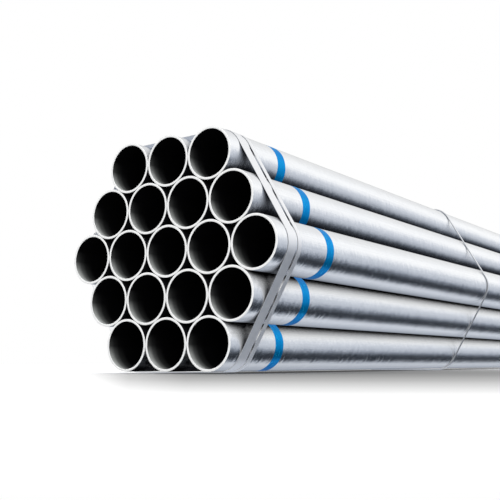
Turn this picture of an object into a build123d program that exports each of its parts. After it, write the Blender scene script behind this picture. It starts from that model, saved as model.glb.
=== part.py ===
from build123d import *
import os
from math import cos, radians, sin

# A bundle of round steel tubes, stacked as a hexagon and held by flat straps and wire ties.
# Millimetres. The tubes lie along Y, their near ends face -Y, and Z is up.
# The origin is at the middle of the bundle's footprint, on the floor.

# Tubes
tube_od = 88.9
tube_wall = 4.0
tube_length = 6000.0
tube_gap = 0.3
tubes_per_side = 3

# Flat straps, two at each end
strap_clearance = 0.3
wide_strap_width = 22.0
wide_strap_thickness = 0.9
wide_strap_from_end = 40.0
narrow_strap_width = 10.0
narrow_strap_thickness = 0.8
narrow_strap_from_end = 62.0
strap_overlap = 64.0

# Crimped seals that close the straps
seal_length = 38.0
seal_sheet = 0.9
seal_clearance = 0.2
seal_notch_width = 5.0
seal_notch_depth = 2.5
seal_notch_spacing = 14.0

# Round wire ties, each closed by its two ends, pressed together and folded along a valley
wire_diameter = 3.5
wire_facets = 8
wire_clearance = 0.3
wire_from_end = 915.0
wire_tail_length = 42.0
wire_tail_spacing = 3.0
wire_tail_drop = 1.2

# Sizes that follow from the ones above
hexagon_sides = 6
side_turn = 360 / hexagon_sides
pitch = tube_od + tube_gap
row_height = pitch * sin(radians(side_turn))
rings = tubes_per_side - 1
corner_distance = rings * pitch
strap_seat = tube_od / 2 + strap_clearance
wire_seat = tube_od / 2 + wire_clearance + wire_diameter / 2
bundle_middle = rings * row_height + wire_seat + wire_diameter / 2
side_distance = corner_distance * cos(radians(side_turn / 2))

# The closures sit on the upper left side, over the valley next to the left corner tube
closure_turn = 180 - side_turn / 2
closure_slide = corner_distance / 2 - pitch / 2


def cross_section(y):
    """Plane across the bundle at y, centred on the middle tube, with its own y pointing up."""
    return Plane(origin=(0, y, bundle_middle), x_dir=(1, 0, 0), z_dir=(0, -1, 0))


def closure_point(distance):
    """Place of a closure in a cross-section, at a distance out from the line of tube centres."""
    reach = side_distance + distance
    across = cos(radians(closure_turn)) * reach - sin(radians(closure_turn)) * closure_slide
    up = sin(radians(closure_turn)) * reach + cos(radians(closure_turn)) * closure_slide
    return across, up


def write(builder, name):
    """Label a finished piece and write it as its own file."""
    builder.part.label = name
    export_step(builder.part, f"parts/{name}.step")


def make_tube(across, up, name):
    """One square-cut round tube over the whole length of the bundle."""
    with BuildPart() as tube:
        with BuildSketch(cross_section(0)):
            with Locations((across, up)):
                Circle(tube_od / 2)
                Circle(tube_od / 2 - tube_wall, mode=Mode.SUBTRACT)
        extrude(amount=tube_length / 2, both=True)
    write(tube, name)


def make_tubes():
    """Rows from the top down, each half a pitch aside from the one above."""
    for row in range(2 * rings + 1):
        row_count = 2 * rings + 1 - abs(row - rings)
        for place in range(row_count):
            across = (place - (row_count - 1) / 2) * pitch
            up = (rings - row) * row_height
            make_tube(across, up, f"tube_row{row + 1}_{place + 1}")


def make_strap(y, width, thickness, name):
    """Flat band pulled straight from tube to tube and bent round the six corner tubes."""
    with BuildPart() as strap:
        with BuildSketch(cross_section(y)):
            RegularPolygon(radius=corner_distance, side_count=hexagon_sides)
            offset(amount=strap_seat + thickness, kind=Kind.ARC)
            with Locations(closure_point(strap_seat + 1.5 * thickness)):
                Rectangle(thickness, strap_overlap, rotation=closure_turn)
        extrude(amount=width / 2, both=True)
        with BuildSketch(cross_section(y)):
            RegularPolygon(radius=corner_distance, side_count=hexagon_sides)
            offset(amount=strap_seat, kind=Kind.ARC)
        extrude(amount=width / 2, both=True, mode=Mode.SUBTRACT)
    write(strap, name)


def make_seal(y, width, thickness, name):
    """Sheet sleeve over both layers of a strap, with two pairs of crimp notches in its edges."""
    across, up = closure_point(strap_seat + thickness)
    outward = (cos(radians(closure_turn)), 0, sin(radians(closure_turn)))
    along = (sin(radians(closure_turn)), 0, -cos(radians(closure_turn)))
    middle = (across, y, bundle_middle + up)
    inner_width = width + 2 * seal_clearance
    inner_height = 2 * (thickness + seal_clearance)
    outer_width = inner_width + 2 * seal_sheet
    outer_height = inner_height + 2 * seal_sheet
    with BuildPart() as seal:
        with BuildSketch(Plane(origin=middle, x_dir=(0, 1, 0), z_dir=along)):
            Rectangle(outer_width, outer_height)
            Rectangle(inner_width, inner_height, mode=Mode.SUBTRACT)
        extrude(amount=seal_length / 2, both=True)
        with BuildSketch(Plane(origin=middle, x_dir=(0, 1, 0), z_dir=outward)):
            with GridLocations(outer_width, seal_notch_spacing, 2, 2):
                Rectangle(2 * seal_notch_depth, seal_notch_width)
        extrude(amount=outer_height, both=True, mode=Mode.SUBTRACT)
    write(seal, name)


def make_wire_tie(y, name):
    """Round wire pulled tight round the six corner tubes, with its two ends folded back side by side."""
    across_plane = cross_section(y)
    with BuildPart() as wire_tie:
        with BuildLine(across_plane) as route:
            bends = []
            for corner in range(hexagon_sides):
                turn = corner * side_turn
                centre = (corner_distance * cos(radians(turn)), corner_distance * sin(radians(turn)))
                bends.append(CenterArc(centre, wire_seat, turn - side_turn / 2, side_turn))
            for corner in range(hexagon_sides):
                Line(bends[corner - 1] @ 1, bends[corner] @ 0)
        with BuildSketch(Plane(origin=route.line @ 0, x_dir=across_plane.z_dir, z_dir=route.line % 0)):
            RegularPolygon(radius=wire_diameter / 2, side_count=wire_facets)
        sweep()
        tail_place = Location((*closure_point(wire_seat - wire_tail_drop), 0), (0, 0, closure_turn))
        with BuildSketch(across_plane):
            with Locations(tail_place):
                with GridLocations(0, wire_tail_spacing, 1, 2):
                    RegularPolygon(radius=wire_diameter / 2, side_count=wire_facets)
        extrude(amount=-wire_tail_length)
    write(wire_tie, name)


os.makedirs("parts", exist_ok=True)
make_tubes()
for end, sign in (("near", -1), ("far", 1)):
    wide_y = sign * (tube_length / 2 - wide_strap_from_end)
    narrow_y = sign * (tube_length / 2 - narrow_strap_from_end)
    make_strap(wide_y, wide_strap_width, wide_strap_thickness, f"strap_wide_{end}")
    make_strap(narrow_y, narrow_strap_width, narrow_strap_thickness, f"strap_narrow_{end}")
    make_seal(wide_y, wide_strap_width, wide_strap_thickness, f"seal_wide_{end}")
    make_seal(narrow_y, narrow_strap_width, narrow_strap_thickness, f"seal_narrow_{end}")
    make_wire_tie(sign * (tube_length / 2 - wire_from_end), f"wire_tie_{end}")
make_wire_tie(0, "wire_tie_middle")
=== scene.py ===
import random
from math import cos, pi, radians, sin

import bpy
from mathutils import Matrix, Vector


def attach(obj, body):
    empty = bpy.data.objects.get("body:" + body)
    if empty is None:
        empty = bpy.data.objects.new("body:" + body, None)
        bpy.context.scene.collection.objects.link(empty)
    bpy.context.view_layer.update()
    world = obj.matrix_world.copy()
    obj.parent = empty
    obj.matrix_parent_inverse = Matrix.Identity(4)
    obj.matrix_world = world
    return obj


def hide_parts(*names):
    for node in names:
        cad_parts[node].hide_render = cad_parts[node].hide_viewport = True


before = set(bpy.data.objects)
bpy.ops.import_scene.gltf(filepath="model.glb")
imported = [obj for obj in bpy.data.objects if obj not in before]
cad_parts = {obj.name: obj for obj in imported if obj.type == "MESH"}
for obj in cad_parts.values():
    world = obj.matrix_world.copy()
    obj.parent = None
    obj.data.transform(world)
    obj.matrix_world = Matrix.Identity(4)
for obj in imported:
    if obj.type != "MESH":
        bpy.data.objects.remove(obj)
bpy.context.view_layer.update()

random.seed(19)

# Sizes in metres, as in the part's source
TUBE_OD = 0.0889
TUBE_WALL = 0.004
TUBE_GAP = 0.0003
TUBE_LENGTH = 6.0
RINGS = 2
HEXAGON_SIDES = 6
SIDE_TURN = 2 * pi / HEXAGON_SIDES
PITCH = TUBE_OD + TUBE_GAP
ROW_HEIGHT = PITCH * sin(SIDE_TURN)
CORNER_DISTANCE = RINGS * PITCH
WIRE_DIAMETER = 0.0035
SEAT_CLEARANCE = 0.0003
WIRE_SEAT = TUBE_OD / 2 + SEAT_CLEARANCE + WIRE_DIAMETER / 2
MIDDLE_HEIGHT = RINGS * ROW_HEIGHT + WIRE_SEAT + WIRE_DIAMETER / 2
NEAR_END = -TUBE_LENGTH / 2

# Tube finish: facets round a tube, width of the broken edges at its mouths, and its material places
TUBE_STEPS = 96
EDGE_BREAK = 0.0005
OUTSIDE, INSIDE, RIM = 0, 1, 2

# Blue paint bands: distance from the tube's end, width, height above the steel, and the wander of their edges
BAND_FROM_END = 0.143
BAND_WIDTH = 0.024
BAND_PROUD = 0.00012
BAND_WAVE = 0.0006
BAND_RIPPLE = 0.0003
BAND_SLIPS = {"row1_3": -0.007, "row2_4": 0.002, "row3_5": 0.004, "row4_4": -0.003, "row5_3": -0.018}

# Straps: width, thickness and distance of the middle from the tube ends, and how far they sway aside
STRAPS = {"wide": (0.022, 0.0009, 0.040), "narrow": (0.010, 0.0008, 0.062)}
STRAP_SWAY = 0.0008

# Facets along a strap or a wire, at each corner tube and on each straight run
ARC_STEPS = 14
RUN_STEPS = 10

# Wire ties: distance from the tube ends, sway, and facets round the loop and round its two ends
WIRE_FROM_END = 0.915
WIRE_SWAY = 0.002
LOOP_SIDES = 14
TAIL_SIDES = 10

# Twisted ends of a wire tie: length, share of it left by the twist, turns, facets along it and fall into the
# valley, and, in wire diameters, how far they are pressed in and how far from their middle they turn
TAIL_LENGTH = 0.042
TAIL_LEFT = 0.93
TAIL_TURNS = 2.6
TAIL_STEPS = 40
TAIL_SINK = 0.006
TAIL_PRESS = 0.3
TAIL_SWING = 0.52

# Camera, found from the tube mouths and the long edges in the photograph
CAMERA_PLACE = Vector((9.967 * PITCH, NEAR_END - 11.238 * PITCH, MIDDLE_HEIGHT - 2.097 * PITCH))
CAMERA_YAW = radians(35.595)
CAMERA_TILT = radians(8.045)
CAMERA_ROLL = radians(0.186)
SENSOR_MM = 36.0
LENS_MM = 58.15
FARTHEST_SEEN = 200.0

# Floor: half its width, its level in the light it throws on the tubes, and, in the picture, its glow and its
# level clear of the shadow
FLOOR_REACH = 40.0
FLOOR_LEVEL = 0.40
FLOOR_GLOW = 0.25
OPEN_FLOOR = 0.96

# Painted floor shadow: its middle beside the near end, its radius, and how much shorter it is to the left
SHADOW_MIDDLE = (0.25, -2.75)
SHADOW_REACH = 1.25
SHADOW_CUT_LEFT = 2.2

# Light on matt surfaces: an even level, and a broad key from the upper right
EVEN_LEVEL = 0.78
KEY_LEVEL = 1.2
KEY_SIDE = (0.45, -0.45, 0.77)

# Light that the metal mirrors: degrees about the length of the tubes, from the right upwards, and its level
STRIP_LIGHTS = [(-180, 0.30), (-150, 0.40), (-125, 0.52), (-100, 0.60), (-82, 0.80), (-72, 0.70), (-64, 0.28),
                (-59, 0.07), (-50, 0.04), (-40, 0.05), (-31, 0.12), (-22, 0.29), (-13, 0.55), (-2, 0.68),
                (9, 0.76), (19, 0.93), (28, 1.08), (40, 1.16), (53, 1.12), (72, 0.98), (100, 0.90),
                (130, 0.72), (146, 0.34), (180, 0.30)]

# Tint of that light: the blue of the dimmest strips, green's part in it, and the degree up to which it goes
STRIP_BLUE = 0.19
STRIP_GREEN_SHARE = 0.3
STRIP_BLUE_UP_TO = 60

# How far the tubes are searched for neighbours that shade them
CREVICE_REACH = 0.050

# Faces that meet at a wider angle than this keep a hard edge between them
SHARP_ANGLE = radians(40)

# Places of the mix node's two colours among its inputs, and of the mixed colour among its outputs
FIRST_COLOUR, SECOND_COLOUR, MIXED_COLOUR = 6, 7, 2


def connect(tree, node, values):
    """Link outputs to the node's inputs, or set plain values on them."""
    for key, value in values.items():
        if isinstance(value, bpy.types.NodeSocket):
            tree.links.new(value, node.inputs[key])
        else:
            node.inputs[key].default_value = value


def add_node(tree, kind, inputs=None, **settings):
    """A shader node with its settings and its inputs, each a value or another node's output."""
    made = tree.nodes.new(kind)
    for name, value in settings.items():
        setattr(made, name, value)
    connect(tree, made, inputs or {})
    return made


def object_position(tree):
    """Place of the surface in the row frame."""
    return add_node(tree, "ShaderNodeTexCoord").outputs["Object"]


def split(tree, vector):
    """The X, Y and Z of a vector."""
    return add_node(tree, "ShaderNodeSeparateXYZ", {0: vector}).outputs


def add_math(tree, operation, *values):
    """One arithmetic node."""
    return add_node(tree, "ShaderNodeMath", dict(enumerate(values)), operation=operation).outputs[0]


def add_vector_math(tree, operation, first, second):
    """One vector node, whose result is a number for a dot product."""
    made = add_node(tree, "ShaderNodeVectorMath", {0: first, 1: second}, operation=operation)
    return made.outputs["Value" if operation == "DOT_PRODUCT" else "Vector"]


def add_ramp(tree, factor, stops):
    """Colour ramp over stops of place and grey level or colour."""
    made = add_node(tree, "ShaderNodeValToRGB", {"Fac": factor})
    elements = made.color_ramp.elements
    while len(elements) < len(stops):
        elements.new(1.0)
    for element, (place, level) in zip(elements, stops):
        element.position = place
        colour = level if isinstance(level, tuple) else (level, level, level)
        element.color = (*colour, 1.0)
    return made.outputs["Color"]


def add_noise(tree, stretch, detail=4.0, roughness=0.55, distortion=0.0):
    """Noise in the row frame, with its own number of cells a metre along X, Y and Z."""
    scaled = add_vector_math(tree, "MULTIPLY", object_position(tree), stretch)
    settings = {"Vector": scaled, "Scale": 1.0, "Detail": detail,
                "Roughness": roughness, "Distortion": distortion}
    return add_node(tree, "ShaderNodeTexNoise", settings).outputs["Fac"]


def add_bump(tree, height, strength, distance, base=None):
    """Bump from a height, on top of another bump if one is given."""
    inputs = {"Height": height, "Strength": strength, "Distance": distance}
    if base is not None:
        inputs["Normal"] = base
    return add_node(tree, "ShaderNodeBump", inputs).outputs["Normal"]


def opaque(colour):
    """A colour output as it is, or a plain colour with its opacity added."""
    return colour if isinstance(colour, bpy.types.NodeSocket) else (*colour, 1.0)


def mix_colours(tree, factor, first, second):
    """Blend of two colours or colour outputs."""
    inputs = {"Factor": factor, FIRST_COLOUR: opaque(first), SECOND_COLOUR: opaque(second)}
    return add_node(tree, "ShaderNodeMix", inputs, data_type="RGBA").outputs[MIXED_COLOUR]


def new_material(name):
    """Node material, its tree and its main shader."""
    material = bpy.data.materials.new(name)
    material.use_nodes = True
    return material, material.node_tree, material.node_tree.nodes["Principled BSDF"]


def floor_light(tree, position):
    """How far the painted shade is lifted on the outward sides of the lowest tubes, where the pale floor
    lights them.
    """
    place = split(tree, position)
    # A ramp runs from 0 to 1, so the place aside is in fifths of a metre and the height in tenths
    aside = add_math(tree, "MULTIPLY", add_math(tree, "ABSOLUTE", place["X"]), 5.0)
    height = add_math(tree, "MULTIPLY", place["Z"], 10.0)
    outer_side = add_ramp(tree, aside, [(0.44, 0.0), (0.52, 1.0)])
    lit = add_ramp(tree, height, [(0.03, 0.30), (0.06, 0.85), (0.30, 0.90), (0.42, 0.0)])
    return add_math(tree, "MULTIPLY", lit, outer_side)


def outside_stack(tree, position):
    """0 within the hexagon through the outer tubes' centres, and 1 beyond it."""
    centred = add_vector_math(tree, "SUBTRACT", position, (0.0, 0.0, MIDDLE_HEIGHT))
    distance = 0.0
    for side in range(HEXAGON_SIDES // 2):
        turn = SIDE_TURN * (side + 0.5)
        across = add_vector_math(tree, "DOT_PRODUCT", centred, (cos(turn), 0.0, sin(turn)))
        distance = add_math(tree, "MAXIMUM", distance, add_math(tree, "ABSOLUTE", across))
    share = add_math(tree, "DIVIDE", distance, 2 * RINGS * ROW_HEIGHT)
    return add_ramp(tree, share, [(0.485, 0.0), (0.515, 1.0)])


def crevice_shade(tree):
    """Painted shade mask: 1 in the open, and 0 in the narrow valleys between tubes and inside the stack."""
    nearby = add_node(tree, "ShaderNodeAmbientOcclusion", {"Distance": CREVICE_REACH}, samples=8)
    valley = add_ramp(tree, nearby.outputs["AO"], [(0.26, 0.0), (0.52, 0.42), (0.85, 1.0)])
    position = object_position(tree)
    # Painted shade: lifted near the floor on the lowest tubes' outer sides, and full inside the stack, so the
    # gaps between mouths come out black
    shade = add_math(tree, "MAXIMUM", valley, floor_light(tree, position))
    return add_math(tree, "MULTIPLY", shade, outside_stack(tree, position))


def galvanised_outside():
    """Zinc-coated tube wall: fine drawn streaks along it, ripples across them, soft mottling, and painted
    shade between tubes.
    """
    material, tree, shader = new_material("galvanised_outside")
    streaks = add_noise(tree, (700, 5, 700), detail=3.0)
    ripples = add_noise(tree, (34, 120, 34), detail=4.0, roughness=0.6)
    dents = add_noise(tree, (14, 34, 14), detail=2.0)
    mottle = add_noise(tree, (70, 38, 70), detail=6.0, roughness=0.7, distortion=0.6)
    clouds = add_noise(tree, (9, 3, 9), detail=2.0)
    pale = mix_colours(tree, mottle, (0.78, 0.79, 0.81), (0.94, 0.95, 0.95))
    clouded = add_ramp(tree, clouds, [(0.35, 0.0), (0.7, 0.5)])
    colour = mix_colours(tree, clouded, pale, (0.80, 0.82, 0.85))
    streaked = add_ramp(tree, streaks, [(0.35, 0.0), (0.75, 0.35)])
    colour = mix_colours(tree, streaked, colour, (0.67, 0.69, 0.72))
    shade = crevice_shade(tree)
    # Painted shade: near-black colour, and no metal, in the valleys between tubes and inside the stack
    colour = mix_colours(tree, shade, (0.010, 0.010, 0.012), colour)
    metal = add_ramp(tree, shade, [(0.0, 0.0), (0.12, 1.0)])
    rough = add_ramp(tree, mottle, [(0.3, 0.10), (0.7, 0.20)])
    normal = add_bump(tree, streaks, 0.08, 0.0003)
    normal = add_bump(tree, dents, 0.25, 0.0020, normal)
    normal = add_bump(tree, ripples, 0.90, 0.0018, normal)
    connect(tree, shader, {"Base Color": colour, "Metallic": metal, "Specular IOR Level": 0.0,
                           "Roughness": rough, "Normal": normal})
    return material


def tube_inside():
    """Dark inner wall, with a paler patch of painted light along the lower left of the first few centimetres.
    """
    material, tree, shader = new_material("tube_inside")
    film = add_noise(tree, (60, 14, 60), detail=4.0)
    from_middle = add_math(tree, "ABSOLUTE", split(tree, object_position(tree))["Y"])
    # A ramp runs from 0 to 1, so the depth from the mouth is in tenths of a metre
    depth = add_math(tree, "MULTIPLY", add_math(tree, "SUBTRACT", TUBE_LENGTH / 2, from_middle), 10.0)
    # Painted light: it fades over the first few centimetres from the mouth and lands on the lower left of the
    # wall, which faces up and to the right
    reach = add_ramp(tree, depth, [(0.0, 1.0), (0.06, 0.72), (0.13, 0.26), (0.24, 0.05), (0.4, 0.0)])
    inwards = add_node(tree, "ShaderNodeNewGeometry").outputs["Normal"]
    faces_light = add_vector_math(tree, "DOT_PRODUCT", inwards, (0.62, 0.0, 0.78))
    painted_light = add_ramp(tree, faces_light, [(0.20, 0.0), (0.62, 0.12), (0.88, 0.75), (1.0, 1.0)])
    deep = mix_colours(tree, film, (0.002, 0.002, 0.002), (0.005, 0.005, 0.006))
    mouth = mix_colours(tree, film, (0.46, 0.48, 0.47), (0.66, 0.68, 0.67))
    colour = mix_colours(tree, add_math(tree, "MULTIPLY", reach, painted_light), deep, mouth)
    rough = add_ramp(tree, film, [(0.3, 0.55), (0.7, 0.75)])
    normal = add_bump(tree, film, 0.2, 0.0006)
    connect(tree, shader, {"Base Color": colour, "Specular IOR Level": 0.0,
                           "Roughness": rough, "Normal": normal})
    return material


def cut_rim():
    """Bright sawn end face with fine cutting marks."""
    material, tree, shader = new_material("cut_rim")
    marks = add_noise(tree, (700, 700, 1800), detail=3.0)
    colour = mix_colours(tree, marks, (0.97, 0.98, 0.98), (1.0, 1.0, 1.0))
    rough = add_ramp(tree, marks, [(0.3, 0.35), (0.7, 0.5)])
    normal = add_bump(tree, marks, 0.10, 0.0003)
    connect(tree, shader, {"Base Color": colour, "Metallic": 0.0, "Roughness": rough, "Normal": normal})
    return material


def strap_steel():
    """Bright flat strap with rolling lines along the band and faint scuffs."""
    material, tree, shader = new_material("strap_steel")
    lines = add_noise(tree, (40, 2200, 40), detail=2.0)
    scuffs = add_noise(tree, (120, 160, 120), detail=5.0, roughness=0.7)
    colour = mix_colours(tree, scuffs, (0.86, 0.87, 0.89), (1.0, 1.0, 1.0))
    rough = add_ramp(tree, scuffs, [(0.3, 0.46), (0.7, 0.56)])
    normal = add_bump(tree, lines, 0.12, 0.0002)
    normal = add_bump(tree, scuffs, 0.1, 0.0006, normal)
    connect(tree, shader, {"Base Color": colour, "Metallic": 1.0, "Roughness": rough, "Normal": normal})
    return material


def tie_wire_steel():
    """Round tie wire, a little darker than the straps, with faint drawing lines."""
    material, tree, shader = new_material("tie_wire_steel")
    grain = add_noise(tree, (300, 900, 300), detail=4.0)
    colour = mix_colours(tree, grain, (0.62, 0.63, 0.65), (0.92, 0.93, 0.95))
    rough = add_ramp(tree, grain, [(0.3, 0.25), (0.7, 0.45)])
    normal = add_bump(tree, grain, 0.15, 0.0003)
    connect(tree, shader, {"Base Color": colour, "Metallic": 1.0, "Roughness": rough, "Normal": normal})
    return material


def band_paint():
    """Thin brushed-on blue paint over zinc, with brush lines round the tube and worn spots."""
    material, tree, shader = new_material("band_paint")
    brush = add_noise(tree, (30, 700, 30), detail=4.0)
    cover = add_noise(tree, (90, 120, 90), detail=5.0, roughness=0.6)
    colour = mix_colours(tree, brush, (0.0, 0.15, 0.50), (0.0, 0.42, 0.84))
    worn = add_ramp(tree, cover, [(0.56, 0.0), (0.70, 0.6)])
    colour = mix_colours(tree, worn, colour, (0.0, 0.52, 0.92))
    rough = add_ramp(tree, cover, [(0.3, 0.18), (0.7, 0.30)])
    normal = add_bump(tree, brush, 0.2, 0.0003)
    connect(tree, shader, {"Base Color": colour, "Metallic": 0.65, "Specular IOR Level": 0.1,
                           "Specular Tint": (0.1, 0.5, 0.9, 1.0), "Roughness": rough, "Normal": normal})
    return material


MATERIALS = {
    "outside": galvanised_outside(),
    "inside": tube_inside(),
    "rim": cut_rim(),
    "strap": strap_steel(),
    "wire": tie_wire_steel(),
    "band": band_paint(),
}


def make_object(name, points, faces, materials, face_materials=None):
    """Smooth mesh object from points and faces in the row frame."""
    mesh = bpy.data.meshes.new(name)
    mesh.from_pydata(points, [], faces)
    for material in materials:
        mesh.materials.append(material)
    if face_materials:
        mesh.polygons.foreach_set("material_index", face_materials)
    mesh.polygons.foreach_set("use_smooth", [True] * len(mesh.polygons))
    mesh.update()
    piece = bpy.data.objects.new(name, mesh)
    bpy.context.scene.collection.objects.link(piece)
    return piece


def sharpen(piece):
    """Keep hard edges sharp and the rest smooth."""
    piece.data.set_sharp_from_angle(angle=SHARP_ANGLE)


def ring_faces(rings, count):
    """Faces between closed rings of points, the last ring joined to the first."""
    faces = []
    for ring in range(rings):
        ahead = (ring + 1) % rings
        for place in range(count):
            following = (place + 1) % count
            faces.append((ring * count + place, ring * count + following,
                          ahead * count + following, ahead * count + place))
    return faces


def lathe(profile_at, centre):
    """Points and faces of a closed profile of radius and y, as it is at each turn about a line along Y."""
    points = []
    for step in range(TUBE_STEPS):
        turn = 2 * pi * step / TUBE_STEPS
        for radius, y in profile_at(turn):
            points.append((centre[0] + radius * cos(turn), y, centre[1] + radius * sin(turn)))
    return points, ring_faces(TUBE_STEPS, len(points) // TUBE_STEPS)


def rim_profile(end, inwards):
    """Softly broken edge of one tube end, from the outside wall to the inside wall."""
    outer, inner = TUBE_OD / 2, TUBE_OD / 2 - TUBE_WALL
    bend = EDGE_BREAK * (1 - cos(pi / 4))
    return [(outer, end + inwards * EDGE_BREAK), (outer - bend, end + inwards * bend),
            (outer - EDGE_BREAK, end), (inner + EDGE_BREAK, end),
            (inner + bend, end + inwards * bend), (inner, end + inwards * EDGE_BREAK)]


def make_tube(name, centre):
    """Tube with bright rims and a dark inner wall, in place of the plain solid."""
    near = rim_profile(NEAR_END, 1)
    far = rim_profile(-NEAR_END, -1)
    far.reverse()
    points, faces = lathe(lambda turn: near + far, centre)
    rim = [RIM] * (len(near) - 1)
    kinds = rim + [INSIDE] + rim + [OUTSIDE]
    materials = [MATERIALS["outside"], MATERIALS["inside"], MATERIALS["rim"]]
    piece = make_object(name + "_finish", points, faces, materials, kinds * TUBE_STEPS)
    piece.visible_glossy = False
    sharpen(piece)
    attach(piece, "root")
    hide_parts(name)


def wander(turn, phases, ripples):
    """Wander of a painted edge along the tube, at a turn round it."""
    return BAND_WAVE * sin(2 * turn + phases[0]) + BAND_RIPPLE * sin(ripples * turn + phases[1])


def make_band(name, centre, end, inwards):
    """Ring of paint just proud of the tube, with slightly wavy edges."""
    outer = TUBE_OD / 2 + BAND_PROUD
    inner = TUBE_OD / 2 + BAND_PROUD / 4
    phases = [random.uniform(0, 2 * pi) for _ in range(4)]

    def profile_at(turn):
        start = end + inwards * (BAND_FROM_END + wander(turn, phases[:2], 5))
        stop = end + inwards * (BAND_FROM_END + BAND_WIDTH + wander(turn, phases[2:], 7))
        return [(inner, start), (outer, start), (outer, stop), (inner, stop)]

    points, faces = lathe(profile_at, centre)
    piece = make_object(name, points, faces, [MATERIALS["band"]])
    piece.visible_glossy = False
    sharpen(piece)
    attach(piece, "root")


def make_tubes():
    """All tubes and their paint bands, row by row from the top."""
    for row in range(2 * RINGS + 1):
        row_count = 2 * RINGS + 1 - abs(row - RINGS)
        for place in range(row_count):
            label = f"row{row + 1}_{place + 1}"
            across = (place - (row_count - 1) / 2) * PITCH
            centre = (across, MIDDLE_HEIGHT + (RINGS - row) * ROW_HEIGHT)
            make_tube("tube_" + label, centre)
            make_band(f"band_{label}_near", centre, NEAR_END + BAND_SLIPS.get(label, 0.0), 1)
            make_band(f"band_{label}_far", centre, -NEAR_END, -1)


def corner_centre(turn):
    """Centre of the corner tube at a turn round the bundle, in the XZ plane."""
    return Vector((CORNER_DISTANCE * cos(turn), MIDDLE_HEIGHT + CORNER_DISTANCE * sin(turn)))


def loop_frames(seat):
    """Places and outward directions, in the XZ plane, along a taut loop round the six corner tubes."""
    frames = []
    for corner in range(HEXAGON_SIDES):
        turn = corner * SIDE_TURN
        centre = corner_centre(turn)
        coming = corner_centre(turn + SIDE_TURN)
        for step in range(ARC_STEPS):
            angle = turn - SIDE_TURN / 2 + SIDE_TURN * step / ARC_STEPS
            outward = Vector((cos(angle), sin(angle)))
            frames.append((centre + seat * outward, outward))
        outward = Vector((cos(turn + SIDE_TURN / 2), sin(turn + SIDE_TURN / 2)))
        for step in range(RUN_STEPS):
            frames.append((centre.lerp(coming, step / RUN_STEPS) + seat * outward, outward))
    return frames


def sweep_section(frames, section, y, sway):
    """Closed sweep of a section of outward and sideways offsets along the frames."""
    points = []
    for index, (place, outward) in enumerate(frames):
        shift = y + sway(2 * pi * index / len(frames))
        for out, side in section:
            spot = place + outward * out
            points.append((spot.x, shift + side, spot.y))
    # The section runs the other way round here, so the corners of each face are turned about
    rings = ring_faces(len(frames), len(section))
    return points, [(first, last, third, second) for first, second, third, last in rings]


def strap_section(width, thickness):
    """Flat band section with small rounded edges."""
    half, flat = width / 2, thickness * 0.35
    low, high = thickness * 0.3, thickness * 0.7
    return [(0, -half + flat), (low, -half), (high, -half), (thickness, -half + flat),
            (thickness, half - flat), (high, half), (low, half), (0, half - flat)]


def make_straps():
    """Two straps at each end."""
    for end, sign in (("near", -1), ("far", 1)):
        for kind, (width, thickness, from_end) in STRAPS.items():
            y = sign * (TUBE_LENGTH / 2 - from_end)
            frames = loop_frames(TUBE_OD / 2 + SEAT_CLEARANCE)
            phase = random.uniform(0, 2 * pi)
            points, faces = sweep_section(frames, strap_section(width, thickness), y,
                                          lambda turn: STRAP_SWAY * sin(turn + phase))
            piece = make_object(f"strap_{kind}_{end}_finish", points, faces, [MATERIALS["strap"]])
            sharpen(piece)
            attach(piece, "root")
            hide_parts(f"strap_{kind}_{end}")


def closure_point(distance):
    """Middle of the valley next to the left corner tube, at a distance out from the tube centres."""
    turn = pi - SIDE_TURN / 2
    reach = CORNER_DISTANCE * cos(SIDE_TURN / 2) + distance
    slide = CORNER_DISTANCE / 2 - PITCH / 2
    across = cos(turn) * reach - sin(turn) * slide
    return Vector((across, MIDDLE_HEIGHT + sin(turn) * reach + cos(turn) * slide))


def round_section(sides):
    """Points of the tie wire's round section."""
    turns = [2 * pi * side / sides for side in range(sides)]
    return [(cos(turn) * WIRE_DIAMETER / 2, sin(turn) * WIRE_DIAMETER / 2) for turn in turns]


def strand(route):
    """Round strand of tie wire along an open route of points, with closed ends."""
    points = []
    for index, place in enumerate(route):
        tangent = (route[min(index + 1, len(route) - 1)] - route[max(index - 1, 0)]).normalized()
        across = tangent.cross(Vector((0, 0, 1))).normalized()
        up = across.cross(tangent)
        points += [tuple(place + across * x + up * z) for x, z in round_section(TAIL_SIDES)]
    # The strand is open, so its last ring isn't joined to its first, and each gets an end face instead
    faces = ring_faces(len(route), TAIL_SIDES)[:-TAIL_SIDES]
    faces.append(tuple(range(TAIL_SIDES)))
    faces.append(tuple(reversed(range(len(points) - TAIL_SIDES, len(points)))))
    return points, faces


def twisted_tail(y, phase):
    """Routes of the wire's two ends, twisted round each other and folded down into the valley."""
    start = closure_point(WIRE_SEAT - WIRE_DIAMETER * TAIL_PRESS)
    inward = (Vector((0, MIDDLE_HEIGHT)) - start).normalized()
    swing = WIRE_DIAMETER * TAIL_SWING
    routes = []
    for half in (0, pi):
        route = []
        for step in range(TAIL_STEPS + 1):
            share = step / TAIL_STEPS
            turn = phase + half + 2 * pi * TAIL_TURNS * share
            middle = start + inward * TAIL_SINK * share * share
            route.append(Vector((middle.x + swing * cos(turn), y + TAIL_LENGTH * share * TAIL_LEFT,
                                 middle.y + swing * sin(turn))))
        routes.append(route)
    return routes


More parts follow.
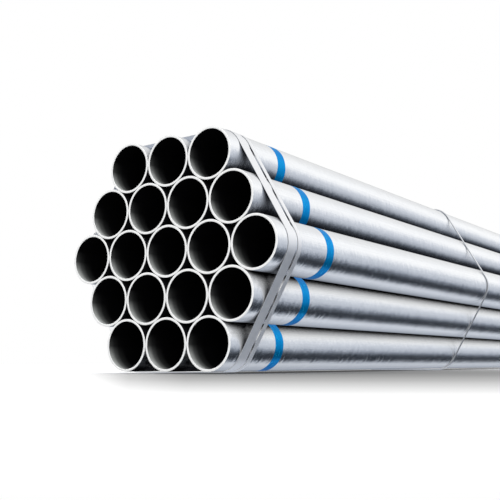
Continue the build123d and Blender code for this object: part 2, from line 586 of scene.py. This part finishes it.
def make_wires():
    """Round tie wires, each closed by a twist of its two ends."""
    for name, y in (("near", NEAR_END + WIRE_FROM_END), ("middle", 0), ("far", -NEAR_END - WIRE_FROM_END)):
        phase = random.uniform(0, 2 * pi)
        points, faces = sweep_section(loop_frames(WIRE_SEAT), round_section(LOOP_SIDES), y,
                                      lambda turn: WIRE_SWAY * sin(turn + phase))
        for route in twisted_tail(y, phase):
            more_points, more_faces = strand(route)
            faces += [tuple(corner + len(points) for corner in face) for face in more_faces]
            points += more_points
        piece = make_object(f"wire_tie_{name}_finish", points, faces, [MATERIALS["wire"]])
        sharpen(piece)
        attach(piece, "root")
        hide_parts(f"wire_tie_{name}")


def dress_seals():
    """The seals keep their own shape and get the strap's steel."""
    for name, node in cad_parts.items():
        if name.startswith("seal_"):
            node.data.materials.clear()
            node.data.materials.append(MATERIALS["strap"])


def strip_colour(degree, level):
    """Colour of a strip light: from the upper middle down, the dimmer it is, the bluer."""
    brightest = max(other for _, other in STRIP_LIGHTS)
    cool = STRIP_BLUE * (1 - level / brightest) if degree < STRIP_BLUE_UP_TO else 0.0
    return (level * (1 - cool), level * (1 - STRIP_GREEN_SHARE * cool), level * (1 + cool))


def make_world():
    """Soft studio: white to the camera, a broad key from the upper right, and strip lights for the metal."""
    world = bpy.data.worlds.new("studio")
    bpy.context.scene.world = world
    world.use_nodes = True
    world.cycles.sampling_method = "NONE"
    tree = world.node_tree
    tree.nodes.clear()
    direction = add_node(tree, "ShaderNodeTexCoord").outputs["Generated"]
    parts = split(tree, direction)
    turn = add_math(tree, "ARCTAN2", parts["Z"], parts["X"])
    place = add_math(tree, "ADD", add_math(tree, "DIVIDE", turn, 2 * pi), 0.5)
    stops = [(degree / 360 + 0.5, strip_colour(degree, level)) for degree, level in STRIP_LIGHTS]
    mirrored = add_ramp(tree, place, stops)
    facing = add_vector_math(tree, "DOT_PRODUCT", direction, tuple(Vector(KEY_SIDE).normalized()))
    lobe = add_math(tree, "POWER", add_math(tree, "MAXIMUM", facing, 0.0), 2.0)
    soft = add_math(tree, "ADD", add_math(tree, "MULTIPLY", lobe, KEY_LEVEL), EVEN_LEVEL)
    path = add_node(tree, "ShaderNodeLightPath")
    matt = mix_colours(tree, path.outputs["Is Camera Ray"], soft, (1.0, 1.0, 1.0))
    seen = mix_colours(tree, path.outputs["Is Glossy Ray"], matt, mirrored)
    background = add_node(tree, "ShaderNodeBackground", {"Color": seen, "Strength": 1.0})
    output = add_node(tree, "ShaderNodeOutputWorld")
    tree.links.new(background.outputs[0], output.inputs[0])


def floor_shadow(tree):
    """Soft painted shadow to the right of the near end, gone at the left of the picture."""
    position = object_position(tree)
    place = split(tree, position)
    across = add_math(tree, "SUBTRACT", place["X"], SHADOW_MIDDLE[0])
    to_right = add_math(tree, "MAXIMUM", across, 0.0)
    to_left = add_math(tree, "MULTIPLY", add_math(tree, "MINIMUM", across, 0.0), -SHADOW_CUT_LEFT)
    aside = add_math(tree, "POWER", add_math(tree, "ADD", to_right, to_left), 2.0)
    along = add_math(tree, "SUBTRACT", place["Y"], SHADOW_MIDDLE[1])
    squares = add_math(tree, "ADD", aside, add_math(tree, "MULTIPLY", along, along))
    away = add_math(tree, "DIVIDE", add_math(tree, "POWER", squares, 0.5), SHADOW_REACH)
    shadow = add_ramp(tree, away, [(0.0, 0.20), (0.28, 0.25), (0.51, 0.35), (0.65, 0.48), (0.74, 0.60),
                                   (0.84, 0.80), (0.96, OPEN_FLOOR)])
    offset = add_vector_math(tree, "SUBTRACT", position, tuple(CAMERA_PLACE))
    right = add_vector_math(tree, "DOT_PRODUCT", offset, (cos(CAMERA_YAW), sin(CAMERA_YAW), 0.0))
    ahead = add_vector_math(tree, "DOT_PRODUCT", offset, (-sin(CAMERA_YAW), cos(CAMERA_YAW), 0.0))
    sideways = add_math(tree, "ADD", add_math(tree, "DIVIDE", right, ahead), 0.5)
    kept = add_ramp(tree, sideways, [(0.27, 0.0), (0.35, 0.80), (0.42, 1.0)])
    return mix_colours(tree, kept, (OPEN_FLOOR, OPEN_FLOOR, OPEN_FLOOR), shadow)


def make_floor():
    """Wide white floor that takes the object's shadow and a painted shadow, and stays out of the metal's
    reflections.
    """
    corners = [(-FLOOR_REACH, -FLOOR_REACH, 0), (FLOOR_REACH, -FLOOR_REACH, 0),
               (FLOOR_REACH, FLOOR_REACH, 0), (-FLOOR_REACH, FLOOR_REACH, 0)]
    material, tree, shader = new_material("white_floor")
    shadow = floor_shadow(tree)
    camera_ray = add_node(tree, "ShaderNodeLightPath").outputs["Is Camera Ray"]
    colour = mix_colours(tree, camera_ray, (FLOOR_LEVEL, FLOOR_LEVEL, FLOOR_LEVEL), shadow)
    # In the picture the floor also glows, in the colours of the painted shadow
    glow = add_math(tree, "MULTIPLY", camera_ray, FLOOR_GLOW)
    connect(tree, shader, {"Base Color": colour, "Roughness": 1.0, "Specular IOR Level": 0.0,
                           "Emission Color": shadow, "Emission Strength": glow})
    floor = make_object("floor", corners, [(0, 1, 2, 3)], [material])
    floor.visible_glossy = False


def make_camera():
    """Camera at the photograph's place, looking along its own axis with no shift."""
    data = bpy.data.cameras.new("camera")
    data.sensor_fit = "HORIZONTAL"
    data.sensor_width = SENSOR_MM
    data.lens = LENS_MM
    data.clip_end = FARTHEST_SEEN
    camera = bpy.data.objects.new("camera", data)
    bpy.context.scene.collection.objects.link(camera)
    upright = Matrix.Rotation(pi / 2, 4, "X")
    turned = Matrix.Rotation(CAMERA_YAW, 4, "Z") @ upright @ Matrix.Rotation(CAMERA_TILT, 4, "X")
    camera.matrix_world = Matrix.Translation(CAMERA_PLACE) @ turned @ Matrix.Rotation(-CAMERA_ROLL, 4, "Z")
    bpy.context.scene.camera = camera


make_camera()
make_world()
make_floor()
make_tubes()
make_straps()
make_wires()
dress_seals()

view = bpy.context.scene.view_settings
view.view_transform = "Standard"
